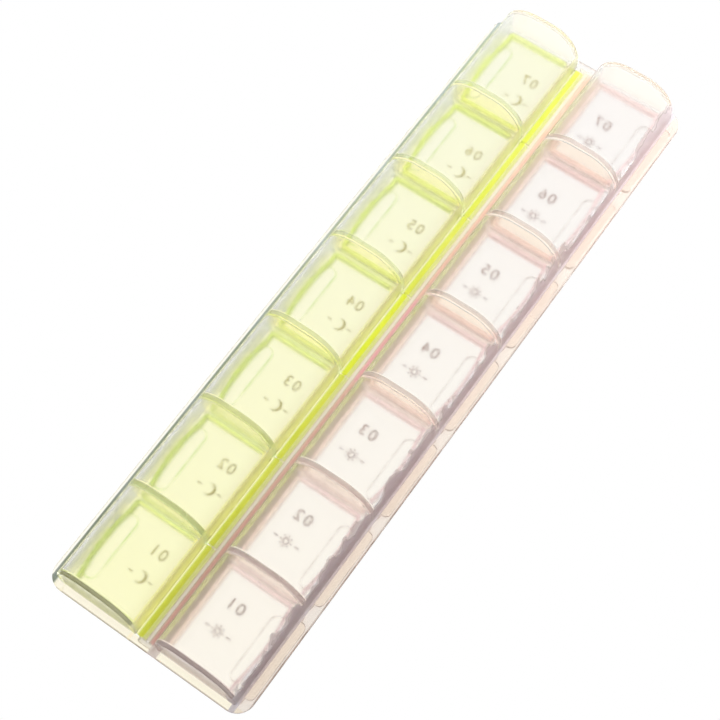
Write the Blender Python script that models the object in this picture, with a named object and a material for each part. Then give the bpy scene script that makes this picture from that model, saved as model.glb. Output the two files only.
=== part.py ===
"""Weekly pill organizer: a clear tray with two rows of seven pockets, and fourteen hinged lids.

Metres, +Z up. The tray stands on its pocket bottoms, the lids are on top. The origin is at the
centre of the footprint, at table height. The Night row lies at +X and the Day row at -X.
The week runs along +Y, from Sunday at the low end to Monday at the high end.
"""

import math

import bmesh
import bpy
from mathutils import Vector

MM = 0.001

# Driving sizes, read from the photo at a pitch of 29 mm for each day
PITCH = 29.0 * MM
ROW_WIDTH = 24.5 * MM
ROW_GAP = 6.6 * MM
TROUGH_DEPTH = 13.3 * MM
TROUGH_CORNER_RADIUS = 9.6 * MM
WALL = 1.0 * MM
FLOOR = 1.0 * MM
PARTITION = 1.2 * MM
FLANGE_THICKNESS = 1.2 * MM
FLANGE_SIDE_OVERHANG = 3.5 * MM
FLANGE_END_OVERHANG = 2.0 * MM
FLANGE_CORNER_RADIUS = 5.0 * MM
LID_THICKNESS = 1.4 * MM

# Clearances
SEAT_GAP = 0.3 * MM
LID_SIDE_GAP = 0.5 * MM
RIM_GAP = 0.4 * MM
QUARTERS_GAP = 0.3 * MM
OVERRUN = 1.0 * MM

# Tray details
MOULD_FILLET = 0.6 * MM
END_ROUNDING = 0.5 * MM
FLANGE_EDGE_ROUNDING = 0.3 * MM
CATCH_LENGTH = 11.0 * MM
CATCH_HEIGHT = 1.2 * MM
CATCH_DEPTH = 0.35 * MM

# Hinge details
ROD_RADIUS = 0.5 * MM
ROD_WEB = 0.4 * MM
RIB_THICKNESS = 0.9 * MM
STOP_THICKNESS = 1.0 * MM
CLIP_WALL = 0.4 * MM
CLIP_SPINE = 0.6 * MM
CLIP_RISE = 1.35 * MM
CLIP_ROUNDING = 0.3 * MM

# Lid details
LID_CORNER_RADIUS = 1.5 * MM
LID_EDGE_ROUNDING = 0.35 * MM
LID_WALL_OVERLAP = 0.5 * MM
THUMB_LIP_LENGTH = 23.5 * MM
THUMB_LIP_REACH = 2.0 * MM
THUMB_LIP_RADIUS = 1.6 * MM
RIM_THICKNESS = 0.9 * MM
RIM_HEIGHT = 2.4 * MM
RIM_CORNER_RADIUS = 1.2 * MM
SKIRT_LENGTH = 20.6 * MM
SKIRT_BOW = 0.9 * MM
SKIRT_WALL_GAP = 0.65 * MM
TONGUE_LENGTH = 6.3 * MM
TONGUE_HEIGHT = 0.9 * MM
TONGUE_PROUD = 0.25 * MM
SLOT_LENGTH = 5.1 * MM
PAD_LENGTH = 20.0 * MM
PAD_WIDTH = 4.2 * MM
PAD_CORNER_RADIUS = 2.6 * MM
PAD_DEPTH = 0.4 * MM

# Counts
DAYS = ("sun", "sat", "fri", "thu", "wed", "tue", "mon")
LAST_DAY_OF_LONG_END = "thu"
TROUGH_ARC_STEPS = 8
SMALL_ARC_STEPS = 3
ROD_SIDES = 14
BORE_SIDES = 12
BOW_STEPS = 8

# Levels and places that follow
ROW_CENTRE = (ROW_GAP + ROW_WIDTH) / 2
FLANGE_BOTTOM = TROUGH_DEPTH
FLANGE_TOP = FLANGE_BOTTOM + FLANGE_THICKNESS
HINGE_BORE = ROD_RADIUS + SEAT_GAP
CLIP_RADIUS = HINGE_BORE + CLIP_WALL
CLIP_BACK = HINGE_BORE + CLIP_SPINE
JAW_FACE = ROD_WEB / 2 + SEAT_GAP
JAW_REACH = math.sqrt(CLIP_RADIUS ** 2 - JAW_FACE ** 2)
HINGE_OFFSET = RIB_THICKNESS / 2 + SEAT_GAP + JAW_REACH
HINGE_HEIGHT = FLANGE_TOP + SEAT_GAP + CLIP_RADIUS
END_WALL_EXTRA = WALL - PARTITION / 2
ROW_LENGTH = len(DAYS) * PITCH + 2 * END_WALL_EXTRA
FLANGE_LENGTH = ROW_LENGTH + 2 * FLANGE_END_OVERHANG
FLANGE_WIDTH = ROW_GAP + 2 * ROW_WIDTH + 2 * FLANGE_SIDE_OVERHANG
POCKET_HALF_WIDTH = ROW_WIDTH / 2 - WALL
POCKET_LENGTH = PITCH - PARTITION
FIRST_CELL = -(len(DAYS) - 1) / 2 * PITCH
LID_LENGTH = PITCH - LID_SIDE_GAP
LAST_LID_END = -FIRST_CELL + LID_LENGTH / 2

# Lid places, measured from its own hinge axis
WALL_INNER_FACE = ROW_CENTRE + POCKET_HALF_WIDTH - HINGE_OFFSET
LID_HINGE_EDGE = HINGE_BORE + CLIP_SPINE / 2
LID_OUTER_EDGE = WALL_INNER_FACE + WALL + LID_WALL_OVERLAP
LID_UNDERSIDE = -CLIP_RADIUS
LID_TOP = LID_UNDERSIDE + LID_THICKNESS
RIM_HINGE_SIDE = ROW_GAP / 2 + WALL + RIM_GAP - HINGE_OFFSET
RIM_LENGTH = POCKET_LENGTH - 2 * RIM_GAP
SKIRT_CREST = WALL_INNER_FACE - SKIRT_WALL_GAP
SKIRT_ROOT = SKIRT_CREST - SKIRT_BOW


def clear_scene():
    """Start from an empty scene, whatever was open."""
    for obj in list(bpy.data.objects):
        bpy.data.objects.remove(obj, do_unlink=True)


def material(name, colour, roughness, alpha=1.0):
    """A Principled material for one moulded plastic."""
    made = bpy.data.materials.new(name)
    made.use_nodes = True
    shader = made.node_tree.nodes["Principled BSDF"]
    shader.inputs["Base Color"].default_value = (*colour, 1.0)
    shader.inputs["Roughness"].default_value = roughness
    shader.inputs["Metallic"].default_value = 0.0
    shader.inputs["Alpha"].default_value = alpha
    return made


def add_object(name, mesh):
    """Put a mesh in the scene under its node name."""
    obj = bpy.data.objects.new(name, mesh)
    bpy.context.scene.collection.objects.link(obj)
    return obj


def mesh_object(name, bm):
    """Finish a bmesh as an object with its faces pointing out."""
    bmesh.ops.recalc_face_normals(bm, faces=bm.faces)
    mesh = bpy.data.meshes.new(name)
    bm.to_mesh(mesh)
    bm.free()
    return add_object(name, mesh)


def arc(centre_u, centre_v, radius, start, end, steps):
    """Points on an arc from start to end, in degrees."""
    points = []
    for step in range(steps + 1):
        angle = math.radians(start + (end - start) * step / steps)
        points.append((centre_u + radius * math.cos(angle), centre_v + radius * math.sin(angle)))
    return points


def rounded_rectangle(low_u, high_u, low_v, high_v, radii, steps):
    """Outline with its own radius at each corner: low-low, high-low, high-high, low-high."""
    corners = ((low_u, low_v, 1, 1, 180), (high_u, low_v, -1, 1, 270),
               (high_u, high_v, -1, -1, 0), (low_u, high_v, 1, -1, 90))
    outline = []
    for (corner_u, corner_v, side_u, side_v, start), radius in zip(corners, radii):
        if radius == 0:
            outline.append((corner_u, corner_v))
            continue
        outline += arc(corner_u + side_u * radius, corner_v + side_v * radius, radius,
                       start, start + 90, steps)
    return outline


def extrude_outline(bm, outline, axis, low, high):
    """Sweep a closed outline into a solid, along Y from (x, z) points or along Z from (x, y) points."""
    if axis == "Y":
        verts = [bm.verts.new((u, low, v)) for u, v in outline]
        travel = Vector((0, high - low, 0))
    else:
        verts = [bm.verts.new((u, v, low)) for u, v in outline]
        travel = Vector((0, 0, high - low))
    face = bm.faces.new(verts)
    swept = bmesh.ops.extrude_face_region(bm, geom=[face])
    moved = [item for item in swept["geom"] if isinstance(item, bmesh.types.BMVert)]
    bmesh.ops.translate(bm, verts=moved, vec=travel)
    return verts + moved


def solid_of(name, outline, axis, low, high, rounding=0, rounded_ends=(True, True), skip_above=None,
             steps=2):
    """A swept solid, with its end outlines rounded where asked."""
    bm = bmesh.new()
    extrude_outline(bm, outline, axis, low, high)
    if rounding:
        index = 1 if axis == "Y" else 2
        middle = (low + high) / 2
        picked = []
        for edge in bm.edges:
            first, second = (vert.co for vert in edge.verts)
            if abs(first[index] - second[index]) > rounding / 10:
                continue
            if not rounded_ends[0 if first[index] < middle else 1]:
                continue
            if skip_above is not None and min(first.z, second.z) > skip_above:
                continue
            picked.append(edge)
        bmesh.ops.bevel(bm, geom=picked, offset=rounding, offset_type="OFFSET", segments=steps,
                        profile=0.5, affect="EDGES", clamp_overlap=True)
    return mesh_object(name, bm)


def join_tools(name, tools):
    """Gather separate tool bodies in one object, for one cut."""
    bm = bmesh.new()
    for tool in tools:
        part = bmesh.new()
        part.from_mesh(tool.data)
        part.transform(tool.matrix_world)
        scratch = bpy.data.meshes.new(name)
        part.to_mesh(scratch)
        part.free()
        bm.from_mesh(scratch)
        bpy.data.meshes.remove(scratch)
        bpy.data.objects.remove(tool, do_unlink=True)
    return mesh_object(name, bm)


def combine(body, tool, operation):
    """Apply one exact Boolean and drop the tool."""
    cut = body.modifiers.new(operation.title(), "BOOLEAN")
    cut.operation = operation
    cut.object = tool
    cut.solver = "EXACT"
    bpy.context.view_layer.update()
    depsgraph = bpy.context.evaluated_depsgraph_get()
    result = bpy.data.meshes.new_from_object(body.evaluated_get(depsgraph))
    body.modifiers.clear()
    body.data = result
    bpy.data.objects.remove(tool, do_unlink=True)
    return body


def trough_outline(half_width, corner_radius, bottom, top):
    """The rounded U of a row or of the inside of a pocket, as (x, z) points about the row centre."""
    return rounded_rectangle(-half_width, half_width, bottom, top,
                             (corner_radius, corner_radius, 0, 0), TROUGH_ARC_STEPS)


def cell_centre(day_index):
    """Where one day's cell is centred along the tray."""
    return FIRST_CELL + day_index * PITCH


# Tray

def pocket_tool(side, day_index):
    """The space inside one pocket, open at the top."""
    outline = trough_outline(POCKET_HALF_WIDTH, TROUGH_CORNER_RADIUS - WALL, FLOOR, FLANGE_TOP + OVERRUN)
    outline = [(u + side * ROW_CENTRE, v) for u, v in outline]
    middle = cell_centre(day_index)
    return solid_of("pocket_tool", outline, "Y", middle - POCKET_LENGTH / 2,
                    middle + POCKET_LENGTH / 2, MOULD_FILLET, skip_above=FLANGE_TOP, steps=1)


def catch_tool(side, day_index):
    """The shallow recess in the outer wall that faces the lid's tongue."""
    inner = ROW_CENTRE + POCKET_HALF_WIDTH - OVERRUN
    outer = ROW_CENTRE + POCKET_HALF_WIDTH + CATCH_DEPTH
    low, high = sorted((side * inner, side * outer))
    top = FLANGE_TOP + SEAT_GAP - RIM_HEIGHT + CATCH_HEIGHT
    middle = cell_centre(day_index)
    outline = rounded_rectangle(low, high, top - CATCH_HEIGHT, top, (0, 0, 0, 0), 1)
    return solid_of("catch_tool", outline, "Y", middle - CATCH_LENGTH / 2, middle + CATCH_LENGTH / 2)


def rail_outline(foot):
    """The hinge rail as (x, z) points: a rib whose top carries a round rod on each side."""
    half_web = ROD_WEB / 2
    half_rib = RIB_THICKNESS / 2
    leave = math.degrees(math.asin(half_web / ROD_RADIUS))
    right = arc(HINGE_OFFSET, HINGE_HEIGHT, ROD_RADIUS, leave - 180, 180 - leave, ROD_SIDES)
    left = [(-u, v) for u, v in reversed(right)]
    low = HINGE_HEIGHT - half_web
    return [(-half_rib, foot), (half_rib, foot), (half_rib, low)] + right + left + [(-half_rib, low)]


def whole_tray():
    """The clear moulding: flange, two rows of pockets and the hinge rail with its end stops."""
    flange = rounded_rectangle(-FLANGE_WIDTH / 2, FLANGE_WIDTH / 2, -FLANGE_LENGTH / 2,
                               FLANGE_LENGTH / 2, (FLANGE_CORNER_RADIUS,) * 4, TROUGH_ARC_STEPS)
    tray = solid_of("whole_tray", flange, "Z", FLANGE_BOTTOM, FLANGE_TOP, FLANGE_EDGE_ROUNDING)
    inside_flange = FLANGE_TOP - FLANGE_THICKNESS / 2
    for side in (1, -1):
        outline = trough_outline(ROW_WIDTH / 2, TROUGH_CORNER_RADIUS, 0, inside_flange)
        outline = [(u + side * ROW_CENTRE, v) for u, v in outline]
        row = solid_of("row_body", outline, "Y", -ROW_LENGTH / 2, ROW_LENGTH / 2, END_ROUNDING,
                       skip_above=FLANGE_BOTTOM)
        combine(tray, row, "UNION")
    stop_face = LAST_LID_END + SEAT_GAP
    stop_end = stop_face + STOP_THICKNESS
    rail_end = (stop_face + stop_end) / 2
    rail = solid_of("rail_body", rail_outline(inside_flange), "Y", -rail_end, rail_end)
    combine(tray, rail, "UNION")
    reach = HINGE_OFFSET + ROD_RADIUS
    stop = rounded_rectangle(-reach, reach, inside_flange, HINGE_HEIGHT + ROD_RADIUS,
                             (0, 0, ROD_RADIUS, ROD_RADIUS), SMALL_ARC_STEPS)
    stops = [solid_of("stop_body", stop, "Y", low, low + STOP_THICKNESS)
             for low in (stop_face, -stop_end)]
    combine(tray, join_tools("stop_bodies", stops), "UNION")
    pockets = [pocket_tool(side, index) for side in (1, -1) for index in range(len(DAYS))]
    combine(tray, join_tools("pocket_tools", pockets), "DIFFERENCE")
    catches = [catch_tool(side, index) for side in (1, -1) for index in range(len(DAYS))]
    combine(tray, join_tools("catch_tools", catches), "DIFFERENCE")
    return tray


def build_tray(plastic):
    """The moulding as four simple quarters.

    They meet at its centre plane, between the rows, and inside one partition of each row.
    """
    whole = whole_tray()
    seam = QUARTERS_GAP / 2
    crossing = cell_centre(DAYS.index(LAST_DAY_OF_LONG_END)) + PITCH / 2
    far_side = FLANGE_WIDTH / 2 + OVERRUN
    far_end = FLANGE_LENGTH / 2 + OVERRUN
    top = HINGE_HEIGHT + ROD_RADIUS + OVERRUN
    ends = (("sunday_end", -far_end, crossing - seam), ("monday_end", crossing + seam, far_end))
    for row_name, side in (("night", 1), ("day", -1)):
        across = sorted((side * seam, side * far_side))
        for end_name, low, high in ends:
            block = rounded_rectangle(*across, low, high, (0, 0, 0, 0), 1)
            kept = solid_of("kept_space", block, "Z", -OVERRUN, top)
            quarter = add_object("clear_tray_" + row_name + "_" + end_name, whole.data.copy())
            combine(quarter, kept, "INTERSECT")
            finish(quarter, plastic)
    bpy.data.objects.remove(whole, do_unlink=True)


# Lids

def lid_outline():
    """The lid seen from above: a plain panel with a long thumb lip on its outer edge."""
    half = LID_LENGTH / 2
    lip_half = THUMB_LIP_LENGTH / 2
    lip_edge = LID_OUTER_EDGE + THUMB_LIP_REACH
    panel = arc(LID_OUTER_EDGE - LID_CORNER_RADIUS, -half + LID_CORNER_RADIUS, LID_CORNER_RADIUS,
                -90, 0, SMALL_ARC_STEPS)
    lip = arc(lip_edge - THUMB_LIP_RADIUS, -lip_half + THUMB_LIP_RADIUS, THUMB_LIP_RADIUS,
              -90, 0, SMALL_ARC_STEPS)
    lower = [(LID_HINGE_EDGE, -half)] + panel + [(LID_OUTER_EDGE, -lip_half)] + lip
    upper = [(u, -v) for u, v in reversed(lower)]
    return lower + upper


def bow(offset):
    """The skirt's bowed line, bulging outwards between its two ends."""
    half = SKIRT_LENGTH / 2
    points = []
    for step in range(BOW_STEPS + 1):
        along = -half + SKIRT_LENGTH * step / BOW_STEPS
        bulge = SKIRT_BOW * (1 - (along / half) ** 2)
        points.append((SKIRT_ROOT + bulge + offset, along))
    return points


def rim_outline(inset):
    """The rim that drops into the pocket's mouth, with its outer side bowed."""
    half = RIM_LENGTH / 2 - inset
    radius = RIM_CORNER_RADIUS - inset if RIM_CORNER_RADIUS > inset else 0
    corners = rounded_rectangle(RIM_HINGE_SIDE + inset, SKIRT_ROOT - inset, -half, half,
                                (radius,) * 4, SMALL_ARC_STEPS)
    per_corner = SMALL_ARC_STEPS + 1 if radius else 1
    before = corners[:2 * per_corner]
    after = corners[2 * per_corner:]
    return before + bow(-inset) + after


def slot_tool(side):
    """A narrow through slot in the panel, between the bowed skirt and the wall."""
    near = side * TONGUE_LENGTH / 2
    far = side * (TONGUE_LENGTH / 2 + SLOT_LENGTH)
    inner = [point for point in bow(0) if min(near, far) < point[1] < max(near, far)]
    half = SKIRT_LENGTH / 2
    ends = [(SKIRT_ROOT + SKIRT_BOW * (1 - (edge / half) ** 2), edge) for edge in sorted((near, far))]
    outline = [ends[0]] + inner + [ends[1]]
    outline += [(WALL_INNER_FACE, max(near, far)), (WALL_INNER_FACE, min(near, far))]
    return solid_of("slot_tool", outline, "Z", LID_UNDERSIDE - OVERRUN, LID_TOP + OVERRUN)


def clip_outline():
    """The clip along the hinge edge, as (u, v) points about the rod that it wraps from below.

    Its mouth leaves room for the rod's web, which lies level while the lid is shut and,
    seen from the lid, stands upright once the lid is open.
    """
    jaw_angle = math.degrees(math.asin(JAW_FACE / CLIP_RADIUS))
    mouth_angle = math.degrees(math.asin(JAW_FACE / HINGE_BORE))
    underside = arc(0, 0, CLIP_RADIUS, 180 + jaw_angle, 270, SMALL_ARC_STEPS)
    spine_top = arc(CLIP_BACK - CLIP_ROUNDING, CLIP_RISE - CLIP_ROUNDING, CLIP_ROUNDING, 0, 90,
                    SMALL_ARC_STEPS)
    bore = arc(0, 0, HINGE_BORE, 90 - mouth_angle, mouth_angle - 180, BORE_SIDES)
    return underside + [(CLIP_BACK, LID_UNDERSIDE)] + spine_top + [(JAW_FACE, CLIP_RISE)] + bore


def lid_mesh():
    """One lid, built about its hinge axis, reaching out along +X."""
    lid = solid_of("lid_body", lid_outline(), "Z", LID_UNDERSIDE, LID_TOP, LID_EDGE_ROUNDING,
                   rounded_ends=(False, True))
    rim_low = LID_UNDERSIDE - RIM_HEIGHT
    inside_panel = LID_UNDERSIDE + LID_THICKNESS / 2
    rim = solid_of("rim_body", rim_outline(0), "Z", rim_low, inside_panel)
    hollow = solid_of("rim_hollow", rim_outline(RIM_THICKNESS), "Z", rim_low - OVERRUN,
                      inside_panel + OVERRUN)
    combine(rim, hollow, "DIFFERENCE")
    combine(lid, rim, "UNION")

    tongue = rounded_rectangle(SKIRT_CREST - RIM_THICKNESS / 2, SKIRT_CREST + TONGUE_PROUD, rim_low,
                               rim_low + TONGUE_HEIGHT, (0, TONGUE_PROUD, TONGUE_PROUD, 0),
                               SMALL_ARC_STEPS)
    combine(lid, solid_of("tongue_body", tongue, "Y", -TONGUE_LENGTH / 2, TONGUE_LENGTH / 2), "UNION")
    combine(lid, join_tools("slot_tools", [slot_tool(1), slot_tool(-1)]), "DIFFERENCE")

    pad_outer = SKIRT_CREST - RIM_THICKNESS / 2
    pad = rounded_rectangle(pad_outer - PAD_WIDTH, pad_outer, -PAD_LENGTH / 2, PAD_LENGTH / 2,
                            (PAD_CORNER_RADIUS, MOULD_FILLET, MOULD_FILLET, PAD_CORNER_RADIUS),
                            SMALL_ARC_STEPS)
    combine(lid, solid_of("pad_tool", pad, "Z", LID_TOP - PAD_DEPTH, LID_TOP + OVERRUN), "DIFFERENCE")

    combine(lid, solid_of("clip_body", clip_outline(), "Y", -LID_LENGTH / 2, LID_LENGTH / 2), "UNION")

    mesh = lid.data.copy()
    bpy.data.objects.remove(lid, do_unlink=True)
    return mesh


def finish(obj, plastic):
    """Give a piece its plastic and smooth its round faces."""
    obj.data.materials.clear()
    obj.data.materials.append(plastic)
    obj.data.shade_smooth()
    obj.data.set_sharp_from_angle(angle=math.radians(35))


def build_lids(row_name, side, plastic):
    """Seven lids of one row, each turned about its own hinge axis."""
    mesh = lid_mesh()
    mesh.name = row_name + "_lid"
    for index, day in enumerate(DAYS):
        lid = add_object(day + "_" + row_name + "_lid", mesh)
        lid.location = (side * HINGE_OFFSET, cell_centre(index), HINGE_HEIGHT)
        lid.rotation_euler = (0, 0, 0 if side > 0 else math.pi)
    finish(lid, plastic)


def main():
    clear_scene()
    build_tray(material("clear_ivory_plastic", (0.93, 0.92, 0.86), 0.18, 0.5))
    build_lids("night", 1, material("lime_lid_plastic", (0.85, 0.88, 0.38), 0.28, 0.85))
    build_lids("day", -1, material("pink_lid_plastic", (0.92, 0.74, 0.70), 0.28, 0.85))
    bpy.context.view_layer.update()


main()
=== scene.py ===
"""Weekly pill organizer seen from below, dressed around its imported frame.

Metres, +Z up, the same frame as the CAD. The tray stands on its pocket bottoms with the lids on
top. The Night row lies at +X, the Day row at -X, and the week runs along +Y from Sunday.
"""

import math
import bmesh
import bpy
from mathutils import Matrix, Vector


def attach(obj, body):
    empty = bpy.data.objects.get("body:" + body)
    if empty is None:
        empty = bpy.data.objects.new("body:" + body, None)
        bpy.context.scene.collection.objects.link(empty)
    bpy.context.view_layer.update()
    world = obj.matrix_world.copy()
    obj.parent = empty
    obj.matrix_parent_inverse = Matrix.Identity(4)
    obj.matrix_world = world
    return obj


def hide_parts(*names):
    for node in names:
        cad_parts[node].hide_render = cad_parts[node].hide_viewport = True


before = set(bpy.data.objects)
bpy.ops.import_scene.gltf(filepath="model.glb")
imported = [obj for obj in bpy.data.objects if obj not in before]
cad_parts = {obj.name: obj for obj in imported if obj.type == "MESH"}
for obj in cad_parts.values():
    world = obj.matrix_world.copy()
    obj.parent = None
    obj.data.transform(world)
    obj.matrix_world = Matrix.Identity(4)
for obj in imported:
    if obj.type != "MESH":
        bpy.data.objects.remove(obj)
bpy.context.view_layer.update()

MM = 0.001

# Sizes, the same as the solids'
PITCH = 29.0 * MM
ROW_WIDTH = 24.5 * MM
ROW_GAP = 6.6 * MM
TROUGH_DEPTH = 13.3 * MM
TROUGH_CORNER_RADIUS = 9.6 * MM
WALL = 1.0 * MM
FLOOR = 1.0 * MM
PARTITION = 1.2 * MM
FLANGE_THICKNESS = 1.2 * MM
FLANGE_SIDE_OVERHANG = 3.5 * MM
FLANGE_END_OVERHANG = 2.0 * MM
FLANGE_CORNER_RADIUS = 5.0 * MM
LID_THICKNESS = 1.4 * MM
SEAT_GAP = 0.3 * MM
LID_SIDE_GAP = 0.5 * MM
RIM_GAP = 0.4 * MM
OVERRUN = 1.0 * MM
POCKET_FILLET = 0.6 * MM
END_ROUNDING = 0.5 * MM
FLANGE_EDGE_ROUNDING = 0.3 * MM
CATCH_LENGTH = 11.0 * MM
CATCH_HEIGHT = 1.2 * MM
CATCH_DEPTH = 0.35 * MM
ROD_RADIUS = 0.5 * MM
ROD_WEB = 0.4 * MM
RIB_THICKNESS = 0.9 * MM
STOP_THICKNESS = 1.0 * MM
CLIP_WALL = 0.4 * MM
CLIP_SPINE = 0.6 * MM
CLIP_RISE = 1.35 * MM
CLIP_ROUNDING = 0.3 * MM
LID_CORNER_RADIUS = 1.5 * MM
LID_EDGE_ROUNDING = 0.35 * MM
LID_WALL_OVERLAP = 0.5 * MM
THUMB_LIP_LENGTH = 23.5 * MM
THUMB_LIP_REACH = 2.0 * MM
THUMB_LIP_RADIUS = 1.6 * MM
RIM_THICKNESS = 0.9 * MM
RIM_HEIGHT = 2.4 * MM
RIM_CORNER_RADIUS = 1.2 * MM
SKIRT_LENGTH = 20.6 * MM
SKIRT_BOW = 0.9 * MM
SKIRT_WALL_GAP = 0.65 * MM
TONGUE_LENGTH = 6.3 * MM
TONGUE_HEIGHT = 0.9 * MM
TONGUE_PROUD = 0.25 * MM
SLOT_LENGTH = 5.1 * MM
PAD_LENGTH = 20.0 * MM
PAD_WIDTH = 4.2 * MM
PAD_CORNER_RADIUS = 2.6 * MM
PAD_DEPTH = 0.4 * MM
PAD_LINE_RADIUS = 2.0 * MM
NUMERAL_HEIGHT = 3.2 * MM
NUMERAL_PLACE = (5.5 * MM, 3.8 * MM)
MARK_HEIGHT = 3.6 * MM
MARK_PLACE = (-2.1 * MM, -3.4 * MM)
MARK_LINE = 0.32 * MM
MARK_GAP = 0.7 * MM
DASH_LENGTH = 1.5 * MM
PRINT_CENTRE = 10.5 * MM
PRINT_THICKNESS = 0.03 * MM
PRINT_LIFT = 0.004 * MM
DIGIT_SHARE = 0.7
DIGIT_SPACING = 1.25
MOON_OPENING = 60
MOON_INNER_SHIFT = 0.2
SUN_RING_SHARE = 0.27
SUN_RAY_START_SHARE = 0.35
SUN_RAY_END_SHARE = 0.5
SUN_RAYS = 8

DAYS = ("sun", "sat", "fri", "thu", "wed", "tue", "mon")
TROUGH_STEPS = 28
SMALL_STEPS = 6
ROD_SIDES = 30
BORE_SIDES = 28
BOW_STEPS = 24
ROUNDING_STEPS = 3
DIGIT_STEPS = 6
RING_STEPS = 16
MOON_OUTER_STEPS = 24
MOON_INNER_STEPS = 20
SMOOTH_ANGLE = 32

# Places that follow
ROW_CENTRE = (ROW_GAP + ROW_WIDTH) / 2
ROW_INNER_FACE = ROW_GAP / 2
ROW_OUTER_FACE = ROW_INNER_FACE + ROW_WIDTH
FLANGE_BOTTOM = TROUGH_DEPTH
FLANGE_TOP = FLANGE_BOTTOM + FLANGE_THICKNESS
HINGE_BORE = ROD_RADIUS + SEAT_GAP
CLIP_RADIUS = HINGE_BORE + CLIP_WALL
CLIP_BACK = HINGE_BORE + CLIP_SPINE
JAW_FACE = ROD_WEB / 2 + SEAT_GAP
JAW_REACH = math.sqrt(CLIP_RADIUS ** 2 - JAW_FACE ** 2)
HINGE_OFFSET = RIB_THICKNESS / 2 + SEAT_GAP + JAW_REACH
HINGE_HEIGHT = FLANGE_TOP + SEAT_GAP + CLIP_RADIUS
ROW_LENGTH = len(DAYS) * PITCH + 2 * (WALL - PARTITION / 2)
FLANGE_LENGTH = ROW_LENGTH + 2 * FLANGE_END_OVERHANG
FLANGE_WIDTH = ROW_GAP + 2 * ROW_WIDTH + 2 * FLANGE_SIDE_OVERHANG
POCKET_HALF_WIDTH = ROW_WIDTH / 2 - WALL
POCKET_LENGTH = PITCH - PARTITION
FIRST_CELL = -(len(DAYS) - 1) / 2 * PITCH
LID_LENGTH = PITCH - LID_SIDE_GAP
LAST_LID_END = -FIRST_CELL + LID_LENGTH / 2
WALL_INNER_FACE = ROW_CENTRE + POCKET_HALF_WIDTH - HINGE_OFFSET
LID_HINGE_EDGE = HINGE_BORE + CLIP_SPINE / 2
LID_OUTER_EDGE = WALL_INNER_FACE + WALL + LID_WALL_OVERLAP
LID_UNDERSIDE = -CLIP_RADIUS
LID_TOP = LID_UNDERSIDE + LID_THICKNESS
RIM_HINGE_SIDE = ROW_GAP / 2 + WALL + RIM_GAP - HINGE_OFFSET
RIM_LENGTH = POCKET_LENGTH - 2 * RIM_GAP
SKIRT_CREST = WALL_INNER_FACE - SKIRT_WALL_GAP
SKIRT_ROOT = SKIRT_CREST - SKIRT_BOW
PAD_OUTER_EDGE = SKIRT_CREST - RIM_THICKNESS / 2


# Node helpers

def new_material(name):
    """An empty node material and its tree."""
    mat = bpy.data.materials.new(name)
    mat.use_nodes = True
    tree = mat.node_tree
    tree.nodes.clear()
    return mat, tree


def node(tree, kind, **values):
    """Add a node. A key with a leading underscore sets an attribute, and any other an input."""
    made = tree.nodes.new(kind)
    for key, value in values.items():
        if key.startswith("_"):
            setattr(made, key[1:], value)
        else:
            made.inputs[key.replace("_", " ")].default_value = value
    return made


def link(tree, source, target):
    tree.links.new(source, target)


def ramp(tree, factor, stops):
    """A colour ramp of (position, colour) stops fed by factor."""
    made = node(tree, "ShaderNodeValToRGB")
    elements = made.color_ramp.elements
    for element, (position, colour) in zip(elements, stops):
        element.position = position
        element.color = (*colour, 1.0)
    link(tree, factor, made.inputs["Fac"])
    return made.outputs["Color"]


def spread(tree, factor, low, high, from_low, from_high):
    """Map the range from_low..from_high of factor to low..high."""
    made = node(tree, "ShaderNodeMapRange", From_Min=from_low, From_Max=from_high, To_Min=low,
                To_Max=high)
    link(tree, factor, made.inputs["Value"])
    return made.outputs["Result"]


def rise(tree, value, start, end):
    """0 up to the start and 1 from the end on."""
    return spread(tree, value, 0.0, 1.0, start, end)


def fall(tree, value, start, end):
    """1 up to the start and 0 from the end on."""
    return spread(tree, value, 1.0, 0.0, start, end)


def band(tree, value, low, high, soft):
    """1 between low and high, fading to 0 over the soft distance on each side."""
    return overlap(tree, rise(tree, value, low - soft, low), fall(tree, value, high, high + soft))


def noise(tree, coords, scale, detail, roughness=0.5):
    made = node(tree, "ShaderNodeTexNoise", Scale=scale, Detail=detail, Roughness=roughness)
    link(tree, coords, made.inputs["Vector"])
    return made.outputs["Fac"]


def maths(tree, kind, first, second=0.0):
    made = node(tree, "ShaderNodeMath", _operation=kind)
    for socket, value in zip(made.inputs, (first, second)):
        if isinstance(value, (int, float)):
            socket.default_value = value
        else:
            link(tree, value, socket)
    return made.outputs[0]


def overlap(tree, zone, *others):
    """1 where all of the zones are 1."""
    for other in others:
        zone = maths(tree, "MULTIPLY", zone, other)
    return zone


def corner_distance(tree, *distances):
    """Distance from the centre of a rounded corner, out of the distances past it along two axes."""
    squares = []
    for distance in distances:
        past = maths(tree, "MAXIMUM", distance, 0.0)
        squares.append(maths(tree, "MULTIPLY", past, past))
    return maths(tree, "SQRT", maths(tree, "ADD", *squares))


def separate(tree, vector):
    """The X, Y and Z of a vector."""
    parts = node(tree, "ShaderNodeSeparateXYZ")
    link(tree, vector, parts.inputs[0])
    return tuple(parts.outputs)


def object_coordinates(tree):
    return node(tree, "ShaderNodeTexCoord").outputs["Object"]


def world_along(tree):
    """How far along the week a shaded point lies."""
    return separate(tree, node(tree, "ShaderNodeNewGeometry").outputs["Position"])[1]


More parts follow.
